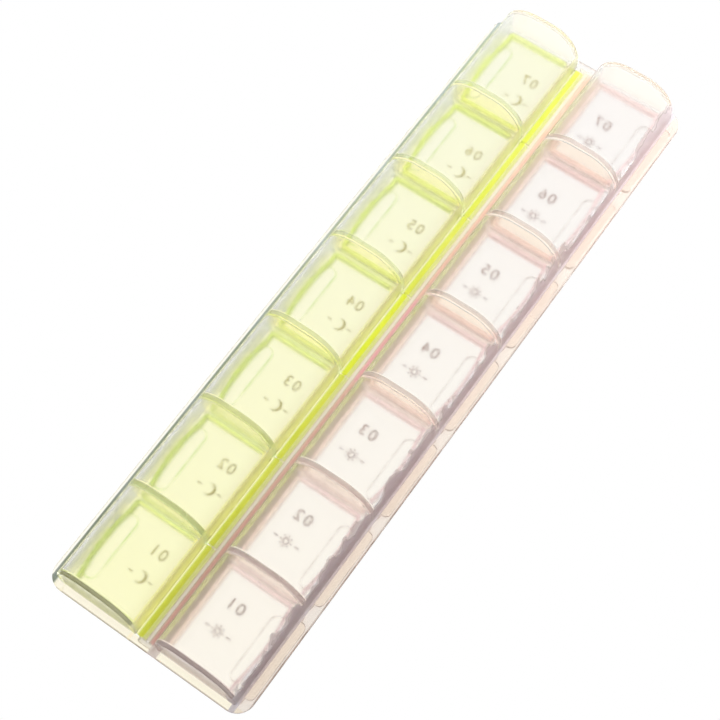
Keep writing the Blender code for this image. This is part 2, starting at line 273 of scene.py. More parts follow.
def blend(tree, factor, under, over):
    """The under value where the factor is 0 and the over value where it is 1."""
    colour = any(isinstance(value, tuple) or getattr(value, "type", "") == "RGBA"
                 for value in (under, over))
    mix = node(tree, "ShaderNodeMix", _data_type="RGBA" if colour else "FLOAT")
    ending = "_Color" if colour else "_Float"
    sockets = {socket.identifier: socket for socket in mix.inputs}
    link(tree, factor, sockets["Factor_Float"])
    for side, value in (("A", under), ("B", over)):
        socket = sockets[side + ending]
        if isinstance(value, bpy.types.NodeSocket):
            link(tree, value, socket)
        else:
            socket.default_value = (*value, 1.0) if colour else value
    return next(socket for socket in mix.outputs if socket.identifier == "Result" + ending)


def mix_shaders(tree, factor, under, over):
    """The under shader where the factor is 0 and the over shader where it is 1."""
    mix = node(tree, "ShaderNodeMixShader")
    link(tree, factor, mix.inputs["Fac"])
    link(tree, under, mix.inputs[1])
    link(tree, over, mix.inputs[2])
    return mix.outputs["Shader"]


def transparent(tree, tint=(1.0, 1.0, 1.0)):
    return node(tree, "ShaderNodeBsdfTransparent", Color=(*tint, 1.0)).outputs["BSDF"]


def surface_output(tree, shader):
    """The material's output, fed by a shader."""
    out = node(tree, "ShaderNodeOutputMaterial")
    link(tree, shader, out.inputs["Surface"])
    return out


def through_or_off_a_surface(tree):
    """1 for a ray that a surface has let through or mirrored, and 0 for any other."""
    path = node(tree, "ShaderNodeLightPath").outputs
    return maths(tree, "MAXIMUM", path["Is Glossy Ray"], path["Is Transmission Ray"])


# Hazes, painted shade and painted light, laid on the plastics zone by zone

PATCH_SCALE = 170.0
ROW_CHANGE = (-0.5 * MM, 0.5 * MM)
MIDDLE_CELL = (-PITCH / 2, PITCH / 2, 0.1 * MM)


class Spot:
    """Where a shaded point lies, as node outputs.

    across, own_along and up are the object's own X, Y and Z, so they follow a lid as it swings.
    along is the world's Y. far runs from 0 at the Sunday cell to 1 at the Monday cell; values that
    follow far are painted light, a wash that pales the Monday end.
    """

    def __init__(self, tree, coords):
        self.across, self.own_along, self.up = separate(tree, coords)
        self.along = world_along(tree)
        self.far = rise(tree, self.along, FIRST_CELL, -FIRST_CELL)
        self.patch = noise(tree, coords, PATCH_SCALE, 2.0, 0.6)


def settle(tree, spot, value):
    """What a look's value comes to at a spot.

    A pair runs from the near end of the row to the far end, painted light that pales the far end.
    Four numbers are a low value, a high one and the stretch of far over which one turns into the
    other. A dictionary has a value for each row, or one for the middle cell and one for the other
    cells.
    """
    if isinstance(value, dict):
        if "middle" in value:
            zone = band(tree, spot.along, *MIDDLE_CELL)
            pair = (value["others"], value["middle"])
        else:
            zone = rise(tree, spot.across, *ROW_CHANGE)
            pair = (value["day"], value["night"])
        return blend(tree, zone, *(settle(tree, spot, item) for item in pair))
    if isinstance(value, tuple) and len(value) == 2:
        return blend(tree, spot.far, *value)
    if isinstance(value, tuple) and len(value) == 4:
        return spread(tree, spot.far, *value)
    return value


class Coat:
    """How much haze a plastic has and its colour, which also carry painted shade and painted light,
    the surface's film, and the share of the light that passes straight through.
    """

    def __init__(self, tree, spot, amount, colour, film):
        self.tree = tree
        self.spot = spot
        self.amount = amount
        self.colour = colour
        self.film = film
        self.through = 0.0

    def lay(self, zone, **look):
        """Give the coat a look's values where the zone is 1."""
        for name, value in look.items():
            value = settle(self.tree, self.spot, value)
            setattr(self, name, blend(self.tree, zone, getattr(self, name), value))

    def fill(self, across, height, along=None, **look):
        """Lay a look inside a box. Each side gives a low end, a high end and how far it fades."""
        zone = overlap(self.tree, band(self.tree, self.spot.across, *across),
                       band(self.tree, self.spot.up, *height))
        if along:
            zone = overlap(self.tree, zone, band(self.tree, self.spot.along, *along))
        self.lay(zone, **look)


# Paint of the tray: painted shade and painted light on the clear plastic

PLATE_HEIGHT = (FLANGE_BOTTOM - 0.1 * MM, FLANGE_TOP + 0.1 * MM, 0.05 * MM)
BELOW_PLATE = (11.5 * MM, 12.5 * MM)
PLATE_LOOK = {"film": (1.0, 0.985, 0.93)}
ROW_WALL_MIDDLE = (TROUGH_CORNER_RADIUS - 0.6 * WALL, TROUGH_CORNER_RADIUS - 0.4 * WALL)

# Edges of the partitions and end walls, by distance from the middle of the partition; their dark
# bands are painted shade, paler toward the far end as painted light
EDGE_INSIDE_ROW = (0.0, 0.5 * MM, 0.07 * MM)
EDGE_IN_WALL = (0.0, 0.62 * MM, 0.07 * MM)
EDGE_PAINTED_SHADE = {"amount": (0.42, 0.70), "through": (0.0, 0.6, 0.2, 0.6),
             "colour": {"day": ((0.32, 0.27, 0.28), (1.0, 0.95, 0.92)),
                        "night": ((0.40, 0.41, 0.31), (0.94, 1.0, 0.92))},
             "film": {"day": (0.84, 0.80, 0.78), "night": (0.86, 0.90, 0.84)}}
FAR_END_START = (3.4 * PITCH, 3.45 * PITCH)
FAR_END_PAINTED_LIGHT = {"amount": 0.6, "colour": (1.0, 0.90, 0.76), "through": 0.2}
NEAR_END_STOP = (-3.45 * PITCH, -3.4 * PITCH)
NEAR_END_PAINTED_SHADE = {"amount": 0.7,
                 "colour": {"day": (0.28, 0.22, 0.23), "night": (0.25, 0.24, 0.15)}}
FILLET_BESIDE_EDGE = (0.66 * MM, 1.15 * MM, 0.06 * MM)
FILLET_LOOK = {"through": 0.6}


def partition_distance(tree, spot):
    """Distance along the week from the middle of the nearest partition or end wall."""
    turns = maths(tree, "FRACT", maths(tree, "MULTIPLY", spot.along, 1.0 / PITCH))
    share = maths(tree, "ABSOLUTE", maths(tree, "SUBTRACT", turns, 0.5))
    return maths(tree, "MULTIPLY", share, PITCH)


def inside_row(tree, spot):
    """1 inside the rounded outline of a row, up to the middle of its wall."""
    side = maths(tree, "ABSOLUTE", spot.across)
    off_row = maths(tree, "ABSOLUTE", maths(tree, "SUBTRACT", side, ROW_CENTRE))
    past_side = maths(tree, "SUBTRACT", off_row, ROW_WIDTH / 2 - TROUGH_CORNER_RADIUS)
    past_bottom = maths(tree, "SUBTRACT", TROUGH_CORNER_RADIUS, spot.up)
    return fall(tree, corner_distance(tree, past_side, past_bottom), *ROW_WALL_MIDDLE)


def paint_edges(tree, spot, coat, from_partition):
    """The U-shaped edges of the partitions and end walls, seen from below, painted dark as shade,
    with a pale cream painted light at the far end and darker painted shade on the near end wall.
    """
    within = inside_row(tree, spot)
    low = fall(tree, spot.up, *BELOW_PLATE)
    edge = overlap(tree, low, blend(tree, within, band(tree, from_partition, *EDGE_IN_WALL),
                                    band(tree, from_partition, *EDGE_INSIDE_ROW)))
    coat.lay(edge, **EDGE_PAINTED_SHADE)
    coat.lay(overlap(tree, edge, rise(tree, spot.along, *FAR_END_START)), **FAR_END_PAINTED_LIGHT)
    near_end = overlap(tree, maths(tree, "SUBTRACT", edge, within),
                       fall(tree, spot.along, *NEAR_END_STOP))
    coat.lay(maths(tree, "MAXIMUM", near_end, 0.0), **NEAR_END_PAINTED_SHADE)
    fillet = band(tree, from_partition, *FILLET_BESIDE_EDGE)
    coat.lay(overlap(tree, within, low, fillet), **FILLET_LOOK)


OVERHANG_START = (ROW_LENGTH / 2 - 0.2 * MM, ROW_LENGTH / 2)
OVERHANG_LOOK = {"film": ((0.99, 0.93, 0.76), (1.0, 0.99, 0.96))}
END_WALL_START = (ROW_LENGTH / 2 - 0.3 * MM, ROW_LENGTH / 2 - 0.1 * MM)
END_WALL_TOP = (FLANGE_BOTTOM - 0.2 * MM, FLANGE_BOTTOM - 0.1 * MM)
END_WALL_PAINTED_LIGHT = {"film": {"day": ((1.0, 0.92, 0.88), (1.0, 1.0, 1.0)),
                          "night": ((0.99, 1.0, 0.74), (1.0, 1.0, 1.0))}}


def paint_ends(tree, spot, coat, plate):
    """The rim plate's overhangs beyond both ends, cream at the near end and clearing toward the far
    one with the painted light, and the end walls' outer faces, tinted with the lids' colours as
    painted light.
    """
    end = maths(tree, "ABSOLUTE", spot.along)
    coat.lay(overlap(tree, plate, rise(tree, end, *OVERHANG_START)), **OVERHANG_LOOK)
    end_wall = overlap(tree, fall(tree, spot.up, *END_WALL_TOP), rise(tree, end, *END_WALL_START))
    coat.lay(end_wall, **END_WALL_PAINTED_LIGHT)


# The partitions' faces, by distance from the middle of the partition, and their plate lines
FACE = (0.58 * MM, 0.64 * MM, 0.02 * MM)
FACE_TOP = (12.5 * MM, 13.0 * MM)
LAST_FACE = (3 * PITCH, 3.2 * PITCH)
FACE_PAINTED_LIGHT = {"film": {"day": (1.0, 0.955, 0.90), "night": (1.0, 0.985, 0.85)},
             "through": (0.15, 0.95, 0.15, 0.45)}
OVER_ROW = (ROW_INNER_FACE, ROW_OUTER_FACE, 0.1 * MM)
BETWEEN_ENDS = (-3.2 * PITCH, 3.2 * PITCH, 0.01 * PITCH)
PLATE_LINE_SHADE_AND_LIGHT = {"amount": (0.4, 0.3),
                   "colour": {"day": ((0.72, 0.55, 0.60), (1.0, 0.80, 0.84)),
                              "night": ((0.60, 0.85, 0.42), (0.90, 1.0, 0.70))}}


def paint_partitions(tree, spot, coat, plate, from_partition):
    """The partitions' faces, tinted with the lids' colours and clearer toward the far end as
    painted light, and the lines where they meet the rim plate, in the lids' colours as painted
    light and darker toward the near end as painted shade.
    """
    faces = overlap(tree, band(tree, from_partition, *FACE), fall(tree, spot.up, *FACE_TOP),
                    fall(tree, spot.along, *LAST_FACE))
    coat.lay(faces, **FACE_PAINTED_LIGHT)
    side = maths(tree, "ABSOLUTE", spot.across)
    lines = overlap(tree, band(tree, from_partition, *EDGE_INSIDE_ROW),
                    band(tree, side, *OVER_ROW), plate, band(tree, spot.along, *BETWEEN_ENDS))
    coat.lay(lines, **PLATE_LINE_SHADE_AND_LIGHT)


# Sides of the tray, by distance across it from the middle: the Night row's are above 0
PAST_RIM = FLANGE_WIDTH / 2 + 0.1 * MM
# Day side: painted shade on the outer wall, the rim strip and the plate's border
DAY_WALL = (-28.2 * MM, -25.8 * MM, 0.3 * MM)
DAY_WALL_START = (6.3 * MM, 7.1 * MM)
DAY_WALL_TOP = (FLANGE_BOTTOM - 0.1 * MM, FLANGE_BOTTOM)
DAY_WALL_ROOT = (-28.3 * MM, -27.0 * MM, 0.1 * MM)
DAY_WALL_PAINTED_SHADE = {"amount": 0.8, "colour": ((0.55, 0.53, 0.58), (0.92, 0.88, 0.94))}
DAY_RIM_SHADE = {"across": (-PAST_RIM, -28.4 * MM, 0.1 * MM), "height": PLATE_HEIGHT,
           "amount": 0.30, "colour": ((0.58, 0.49, 0.43), (1.0, 0.86, 0.76))}
DAY_BORDER = (-31.05 * MM, -30.95 * MM)
END_BORDER = (FLANGE_LENGTH / 2 - 0.3 * MM, FLANGE_LENGTH / 2 - 0.2 * MM)
BORDER_PAINTED_SHADE = {"amount": 0.6, "colour": ((0.34, 0.26, 0.22), (0.80, 0.72, 0.68))}
# Night side: painted shade on the outer wall, the rim strip and a dark line on the plate
NIGHT_WALL = (25.8 * MM, 28.2 * MM, 0.3 * MM)
NIGHT_WALL_HEIGHT = (3.5 * MM, 12.8 * MM, 1.5 * MM)
NIGHT_WALL_PAINTED_SHADE = {"amount": 0.2, "colour": ((0.66, 0.66, 0.48), (0.90, 0.96, 0.76)),
                   "through": 0.4}
NIGHT_RIM_SHADE = {"across": (28.2 * MM, 29.4 * MM, 0.2 * MM), "height": PLATE_HEIGHT,
             "amount": 0.15, "colour": ((0.66, 0.68, 0.54), (0.85, 0.92, 0.82))}
NIGHT_SHADE_LINE = {"across": (28.8 * MM, 30.3 * MM, 0.1 * MM), "height": PLATE_HEIGHT,
              "amount": 0.85, "colour": ((0.26, 0.30, 0.28), (0.56, 0.63, 0.63))}
NIGHT_OUTER_STRIP = {"across": (30.5 * MM, PAST_RIM, 0.1 * MM), "height": PLATE_HEIGHT,
                     "through": 0.75}
NIGHT_ROUNDING = {"across": (31.0 * MM, PAST_RIM, 0.1 * MM), "height": PLATE_HEIGHT,
                  "through": 0.8}
RAGGED_SHIFT = (-2.2 * MM, 1.6 * MM, 0.35, 0.65)


def paint_day_side(tree, spot, coat, plate, ragged_up):
    """The Day row's outer wall, painted dark as shade above a ragged line, and the rim strip and
    the border of the rim plate, painted darker as shade.
    """
    coat.fill(**DAY_RIM_SHADE)
    end = maths(tree, "ABSOLUTE", spot.along)
    border = maths(tree, "MAXIMUM", fall(tree, spot.across, *DAY_BORDER),
                   rise(tree, end, *END_BORDER))
    coat.lay(overlap(tree, border, plate), **BORDER_PAINTED_SHADE)
    wall = overlap(tree, band(tree, spot.across, *DAY_WALL),
                   rise(tree, ragged_up, *DAY_WALL_START), fall(tree, spot.up, *DAY_WALL_TOP))
    root = overlap(tree, band(tree, spot.across, *DAY_WALL_ROOT), plate)
    coat.lay(maths(tree, "MAXIMUM", wall, root), **DAY_WALL_PAINTED_SHADE)


def paint_night_side(tree, spot, coat, ragged_up):
    """The Night row's outer wall and rim strip, painted darker as shade, and a dark line of painted
    shade on the rim plate, faint outside it.
    """
    wall = overlap(tree, band(tree, spot.across, *NIGHT_WALL),
                   band(tree, ragged_up, *NIGHT_WALL_HEIGHT))
    coat.lay(wall, **NIGHT_WALL_PAINTED_SHADE)
    for strip in (NIGHT_RIM_SHADE, NIGHT_SHADE_LINE, NIGHT_OUTER_STRIP, NIGHT_ROUNDING):
        coat.fill(**strip)


# Middle of the tray, between the rows: painted shade on the rail, the Day row's inner wall and
# the grey stripe, and the lids' colours painted on as light, all darker toward the near end
NIGHT_WALL_FACE = {"across": (4.0 * MM, 4.6 * MM, 0.2 * MM),
                   "height": (12.0 * MM, 14.6 * MM, 0.5 * MM), "through": 0.6}
NIGHT_INNER_WALL_LIGHT = {"across": (3.2 * MM, 4.4 * MM, 0.1 * MM),
                    "height": (7.5 * MM, 12.0 * MM, 1.0 * MM),
                    "amount": 0.35, "colour": ((0.98, 0.93, 0.60), (1.0, 1.0, 0.75))}
DAY_INNER_WALL_SHADE = {"across": (-4.2 * MM, -2.1 * MM, 0.6 * MM),
                  "height": (4.5 * MM, 14.6 * MM, 1.5 * MM),
                  "amount": 0.5, "colour": ((0.52, 0.46, 0.48), (0.95, 0.88, 0.88))}
RAIL_SHADE = {"across": (-2.6 * MM, 2.6 * MM, 0.1 * MM), "height": (14.7 * MM, 20.0 * MM, 0.15 * MM),
        "amount": 0.65, "colour": ((0.56, 0.52, 0.46), (0.95, 0.90, 0.80))}
BETWEEN_STOPS = (-LAST_LID_END, LAST_LID_END, 0.3 * MM)
# A grey stripe of painted shade, and the pink lid's colour painted on the clear plate as light
PALE_STRIPE = {"across": (-0.6 * MM, 0.2 * MM, 0.2 * MM), "height": PLATE_HEIGHT,
               "along": BETWEEN_STOPS,
               "amount": 0.4, "colour": ((0.60, 0.54, 0.46), (0.92, 0.88, 0.78))}
PINK_STRIPE = {"across": (-1.6 * MM, -0.9 * MM, 0.15 * MM), "height": PLATE_HEIGHT,
               "along": BETWEEN_STOPS, "amount": 0.5,
               "colour": {"others": ((0.72, 0.50, 0.50), (0.98, 0.82, 0.80)),
                          "middle": (0.86, 0.58, 0.68)}}


def paint_tray(tree, spot, coat):
    plate = band(tree, spot.up, *PLATE_HEIGHT)
    from_partition = partition_distance(tree, spot)
    ragged_up = maths(tree, "ADD", spot.up, spread(tree, spot.patch, *RAGGED_SHIFT))
    coat.lay(plate, **PLATE_LOOK)
    paint_edges(tree, spot, coat, from_partition)
    paint_ends(tree, spot, coat, plate)
    paint_partitions(tree, spot, coat, plate, from_partition)
    paint_day_side(tree, spot, coat, plate, ragged_up)
    paint_night_side(tree, spot, coat, ragged_up)
    for part in (NIGHT_WALL_FACE, NIGHT_INNER_WALL_LIGHT, DAY_INNER_WALL_SHADE, RAIL_SHADE, PALE_STRIPE, PINK_STRIPE):
        coat.fill(**part)


# Paint of the lids, by distance from the hinge's axis: the thick plastic's own deeper tints, with
# painted shade toward the near end and painted light toward the far end

CLIP_FADE = 0.4 * MM
CORE_FADE = 0.25 * MM
BELOW_LID = (LID_UNDERSIDE - 0.2 * MM, LID_UNDERSIDE - 0.05 * MM)
SKIRT = (22.2 * MM, 25.0 * MM, 0.2 * MM)
RIM_LEG = (2.4 * MM, 4.2 * MM, 0.2 * MM)
RIM_FLANK = (RIM_LENGTH / 2 - RIM_THICKNESS, RIM_LENGTH / 2, 0.1 * MM)
RIM_FLANK_STOP = (22.0 * MM, 22.2 * MM)
PAD_LINE = (PAD_LINE_RADIUS - 0.16 * MM, PAD_LINE_RADIUS + 0.10 * MM, 0.08 * MM)
PAD_LINE_HEIGHT = (-0.6 * MM, -0.5 * MM)
PAD_LINE_PATCHES = (0.35, 1.0, 0.40, 0.55)

# Grey clip haze and the dark near ends of the tints are painted shade; the pale far ends are
# painted light
LIME_LOOKS = {
    "clip_width": (-1.3 * MM, 1.5 * MM),
    "clip": {"amount": 0.35, "colour": (0.76, 0.84, 0.50)},
    "core_width": (0.0, 1.2 * MM),
    "core": {"amount": 0.8, "colour": {"others": ((0.70, 0.75, 0.12), (0.93, 1.0, 0.30)),
                                       "middle": (0.86, 0.94, 0.08)}},
    "skirt": {"amount": 0.5, "colour": ((0.52, 0.64, 0.22), (0.90, 1.0, 0.50))},
    "flank": {"amount": 0.3, "colour": ((0.72, 0.86, 0.38), (0.90, 1.0, 0.58))},
    "leg": {"amount": 0.2, "colour": (1.0, 1.0, 0.60), "through": 0.96},
    "rim": {"film": (0.94, 1.0, 0.66)},
    "pad_line": {"amount": 0.75, "colour": (0.46, 0.66, 0.14)}}
PINK_LOOKS = {
    "clip_width": (-1.7 * MM, 1.3 * MM),
    "clip": {"amount": 0.35, "colour": (0.68, 0.62, 0.56)},
    "core_width": (-0.2 * MM, 1.5 * MM),
    "core": {"amount": 0.8, "colour": {"others": ((0.72, 0.50, 0.51), (1.0, 0.82, 0.79)),
                                       "middle": (0.92, 0.60, 0.70)}},
    "skirt": {"amount": 0.5, "colour": ((0.62, 0.44, 0.50), (1.0, 0.80, 0.86))},
    "flank": {"amount": 0.3, "colour": ((0.84, 0.64, 0.66), (1.0, 0.84, 0.86))},
    "leg": {"amount": 0.45, "colour": (1.0, 0.84, 0.78), "through": 0.3},
    "rim": {"film": (1.0, 0.91, 0.88)},
    "pad_line": {"amount": 0.75, "colour": (0.46, 0.36, 0.34)}}


def pad_line(tree, spot, side, off_centre):
    """A darker line round the finger pad, in patches, on the top of the lid."""
    pad_middle = PAD_OUTER_EDGE - PAD_WIDTH / 2
    from_middle = maths(tree, "ABSOLUTE", maths(tree, "SUBTRACT", side, pad_middle))
    past_side = maths(tree, "SUBTRACT", from_middle, PAD_WIDTH / 2 - PAD_LINE_RADIUS)
    past_end = maths(tree, "SUBTRACT", off_centre, PAD_LENGTH / 2 - PAD_LINE_RADIUS)
    line = band(tree, corner_distance(tree, past_side, past_end), *PAD_LINE)
    return overlap(tree, line, rise(tree, spot.up, *PAD_LINE_HEIGHT),
                   spread(tree, spot.patch, *PAD_LINE_PATCHES))


def paint_lid(tree, spot, coat, looks):
    """Haze round the hinge clip, greyed as painted shade, with a strongly coloured core, and deeper
    tints in the rim, partly the thick plastic's own colour and partly painted shade.
    """
    coat.lay(band(tree, spot.across, *looks["clip_width"], CLIP_FADE), **looks["clip"])
    coat.lay(band(tree, spot.across, *looks["core_width"], CORE_FADE), **looks["core"])
    below = fall(tree, spot.up, *BELOW_LID)
    side = maths(tree, "ABSOLUTE", spot.across)
    off_centre = maths(tree, "ABSOLUTE", spot.own_along)
    coat.lay(overlap(tree, below, band(tree, side, *SKIRT)), **looks["skirt"])
    flank = overlap(tree, below, band(tree, off_centre, *RIM_FLANK),
                    fall(tree, side, *RIM_FLANK_STOP))
    coat.lay(flank, **looks["flank"])
    leg = overlap(tree, below, band(tree, side, *RIM_LEG))
    coat.lay(leg, **looks["leg"])
    coat.lay(maths(tree, "SUBTRACT", below, leg), **looks["rim"])
    coat.lay(pad_line(tree, spot, side, off_centre), **looks["pad_line"])


def paint_lime(tree, spot, coat):
    paint_lid(tree, spot, coat, LIME_LOOKS)


def paint_pink(tree, spot, coat):
    paint_lid(tree, spot, coat, PINK_LOOKS)


# Materials

BROAD_SCALE = 45.0
FINE_SCALE = 400.0
RIPPLE_SCALE = 110.0
NOISE_MIDDLE = (0.3, 0.7)
PLASTIC_IOR = 1.42
EVEN_HAZE = 0.006
WORN_FILM = 0.997
HAZE_PATCHINESS = (0.88, 1.12)
FINEST_WEAR = 0.8
COARSEST_WEAR = 1.25
RIPPLE_DEPTH = 0.4 * MM


def plastic_surface(tree, coords, film, rough, wave):
    """The refracting surface, with fine wear and the waviness of the flow in the mould."""
    shader = node(tree, "ShaderNodeBsdfPrincipled", Transmission_Weight=1.0, IOR=PLASTIC_IOR,
                  Specular_IOR_Level=0.5)
    link(tree, film, shader.inputs["Base Color"])
    wear = spread(tree, noise(tree, coords, FINE_SCALE, 3.0), rough * FINEST_WEAR,
                  rough * COARSEST_WEAR, *NOISE_MIDDLE)
    link(tree, wear, shader.inputs["Roughness"])
    bump = node(tree, "ShaderNodeBump", Strength=wave, Distance=RIPPLE_DEPTH)
    link(tree, noise(tree, coords, RIPPLE_SCALE, 2.0), bump.inputs["Height"])
    link(tree, bump.outputs["Normal"], shader.inputs["Normal"])
    return shader.outputs["BSDF"]


def moulded_plastic(name, films, fade, density, rough, wave, shadow_tint, haze_tint, painter):
    """Moulded plastic: a refracting surface, haze in places that also paints shade and light, and
    absorption by depth.

    The films are the surface tints at the near and the far end of the row; the paler far film is
    painted light. The fade is how fast red, green and blue are absorbed, per metre. The painter
    lays the local hazes, painted shade and painted light, over an even haze.
    """
    mat, tree = new_material(name)
    coords = object_coordinates(tree)
    broad = noise(tree, coords, BROAD_SCALE, 2.0)
    spot = Spot(tree, coords)
    worn = tuple(WORN_FILM * value for value in films[0])
    near_film = ramp(tree, broad, zip(NOISE_MIDDLE, (worn, films[0])))
    coat = Coat(tree, spot, amount=spread(tree, broad, 0.0, EVEN_HAZE, *NOISE_MIDDLE),
                colour=haze_tint, film=blend(tree, spot.far, near_film, films[1]))
    painter(tree, spot, coat)

    surface = plastic_surface(tree, coords, coat.film, rough, wave)
    haze_and_shade = node(tree, "ShaderNodeBsdfTranslucent")
    link(tree, coat.colour, haze_and_shade.inputs["Color"])
    patchy = spread(tree, broad, *HAZE_PATCHINESS, *NOISE_MIDDLE)
    hazed_and_shaded = mix_shaders(tree, maths(tree, "MULTIPLY", coat.amount, patchy), surface,
                        haze_and_shade.outputs["BSDF"])
    straight = node(tree, "ShaderNodeBsdfTransparent")
    link(tree, coat.film, straight.inputs["Color"])
    passed = mix_shaders(tree, coat.through, hazed_and_shaded, straight.outputs["BSDF"])
    path = node(tree, "ShaderNodeLightPath")
    lit = mix_shaders(tree, path.outputs["Is Shadow Ray"], passed, transparent(tree, shadow_tint))

    absorb = tuple(1.0 - value / density for value in fade)
    volume = node(tree, "ShaderNodeVolumeAbsorption", Color=(*absorb, 1.0), Density=density)
    link(tree, volume.outputs["Volume"], surface_output(tree, lit).inputs["Volume"])
    return mat


clear_plastic = moulded_plastic(
    "clear_moulding", films=((1.0, 0.998, 0.985), (1.0, 1.0, 0.995)), fade=(7, 7, 8), density=100,
    rough=0.16, wave=0.05, shadow_tint=(0.94, 0.93, 0.90), haze_tint=(0.80, 0.78, 0.76),
    painter=paint_tray)
lime_plastic = moulded_plastic(
    "lime_moulding", films=((1.0, 0.985, 0.74), (1.0, 0.995, 0.94)), fade=(3, 2, 135), density=600,
    rough=0.1, wave=0.04, shadow_tint=(0.92, 0.93, 0.55), haze_tint=(0.80, 0.82, 0.40),
    painter=paint_lime)
pink_plastic = moulded_plastic(
    "pink_moulding", films=((1.0, 0.97, 0.875), (1.0, 0.99, 0.97)), fade=(2, 16, 19), density=200,
    rough=0.1, wave=0.04, shadow_tint=(0.95, 0.84, 0.80), haze_tint=(0.85, 0.72, 0.66),
    painter=paint_pink)


# Mesh helpers

def add_object(name, mesh):
    obj = bpy.data.objects.new(name, mesh)
    bpy.context.scene.collection.objects.link(obj)
    return obj


def mesh_object(name, bm):
    bmesh.ops.recalc_face_normals(bm, faces=bm.faces)
    mesh = bpy.data.meshes.new(name)
    bm.to_mesh(mesh)
    bm.free()
    return add_object(name, mesh)


def arc(centre_u, centre_v, radius, start, end, steps):
    points = []
    for step in range(steps + 1):
        angle = math.radians(start + (end - start) * step / steps)
        points.append((centre_u + radius * math.cos(angle), centre_v + radius * math.sin(angle)))
    return points


def rounded_rectangle(low_u, high_u, low_v, high_v, radii=(0, 0, 0, 0), steps=SMALL_STEPS):
    corners = ((low_u, low_v, 1, 1, 180), (high_u, low_v, -1, 1, 270),
               (high_u, high_v, -1, -1, 0), (low_u, high_v, 1, -1, 90))
    outline = []
    for (corner_u, corner_v, side_u, side_v, start), radius in zip(corners, radii):
        if radius == 0:
            outline.append((corner_u, corner_v))
            continue
        outline += arc(corner_u + side_u * radius, corner_v + side_v * radius, radius,
                       start, start + 90, steps)
    return outline


def extrude_outline(bm, outline, axis, low, high):
    """Sweep an outline along Y, its second coordinate being Z, or along Z."""
    if axis == "Y":
        verts = [bm.verts.new((u, low, v)) for u, v in outline]
        travel = Vector((0, high - low, 0))
    else:
        verts = [bm.verts.new((u, v, low)) for u, v in outline]
        travel = Vector((0, 0, high - low))
    face = bm.faces.new(verts)
    swept = bmesh.ops.extrude_face_region(bm, geom=[face])
    moved = [item for item in swept["geom"] if isinstance(item, bmesh.types.BMVert)]
    bmesh.ops.translate(bm, verts=moved, vec=travel)


def round_ends(bm, index, middle, rounding, rounded_ends, skip_above):
    """Round the edges of the low end face, the high one or both, but none above skip_above."""
    picked = []
    for edge in bm.edges:
        first, second = (vert.co for vert in edge.verts)
        if abs(first[index] - second[index]) > rounding / 10:
            continue
        if not rounded_ends[0 if first[index] < middle else 1]:
            continue
        if skip_above is not None and min(first.z, second.z) > skip_above:
            continue
        picked.append(edge)
    bmesh.ops.bevel(bm, geom=picked, offset=rounding, offset_type="OFFSET", segments=ROUNDING_STEPS,
                    profile=0.5, affect="EDGES", clamp_overlap=True)


def solid_of(name, outline, axis, low, high, rounding=0, rounded_ends=(True, True),
             skip_above=None):
    bm = bmesh.new()
    extrude_outline(bm, outline, axis, low, high)
    if rounding:
        index = "XYZ".index(axis)
        round_ends(bm, index, (low + high) / 2, rounding, rounded_ends, skip_above)
    return mesh_object(name, bm)


def join_tools(name, tools):
    bm = bmesh.new()
    for tool in tools:
        bm.from_mesh(tool.data)
        bpy.data.objects.remove(tool, do_unlink=True)
    return mesh_object(name, bm)


def apply_modifiers(obj):
    bpy.context.view_layer.update()
    depsgraph = bpy.context.evaluated_depsgraph_get()
    result = bpy.data.meshes.new_from_object(obj.evaluated_get(depsgraph))
    obj.modifiers.clear()
    obj.data = result


def combine(body, tool, operation):
    """Join the tool to the body or cut it out, and remove the tool."""
    cut = body.modifiers.new(operation.title(), "BOOLEAN")
    cut.operation = operation
    cut.object = tool
    cut.solver = "EXACT"
    apply_modifiers(body)
    bpy.data.objects.remove(tool, do_unlink=True)


def smooth(obj):
    """Smooth the round faces, and let the flat ones set the normals beside them."""
    obj.data.shade_smooth()
    obj.data.set_sharp_from_angle(angle=math.radians(SMOOTH_ANGLE))
    weigh = obj.modifiers.new("Weigh", "WEIGHTED_NORMAL")
    weigh.keep_sharp = True
    weigh.weight = 100
    apply_modifiers(obj)


def set_material(mesh, material):
    mesh.materials.clear()
    mesh.materials.append(material)


def cell_centre(day_index):
    return FIRST_CELL + day_index * PITCH


# Tray

def trough_outline(side, half_width, corner_radius, bottom, top):
    """A row's section, rounded below, on the Night side (1) or the Day side (-1)."""
    outline = rounded_rectangle(-half_width, half_width, bottom, top,
                                (corner_radius, corner_radius, 0, 0), TROUGH_STEPS)
    return [(u + side * ROW_CENTRE, v) for u, v in outline]


def pocket_tool(side, day_index):
    outline = trough_outline(side, POCKET_HALF_WIDTH, TROUGH_CORNER_RADIUS - WALL, FLOOR,
                             FLANGE_TOP + OVERRUN)
    middle = cell_centre(day_index)
    return solid_of("pocket_tool", outline, "Y", middle - POCKET_LENGTH / 2,
                    middle + POCKET_LENGTH / 2, POCKET_FILLET, skip_above=FLANGE_TOP)


def catch_tool(side, day_index):
    inner = ROW_CENTRE + POCKET_HALF_WIDTH - OVERRUN
    outer = ROW_CENTRE + POCKET_HALF_WIDTH + CATCH_DEPTH
    low, high = sorted((side * inner, side * outer))
    top = FLANGE_TOP + SEAT_GAP - RIM_HEIGHT + CATCH_HEIGHT
    middle = cell_centre(day_index)
    outline = rounded_rectangle(low, high, top - CATCH_HEIGHT, top)
    return solid_of("catch_tool", outline, "Y", middle - CATCH_LENGTH / 2,
                    middle + CATCH_LENGTH / 2)


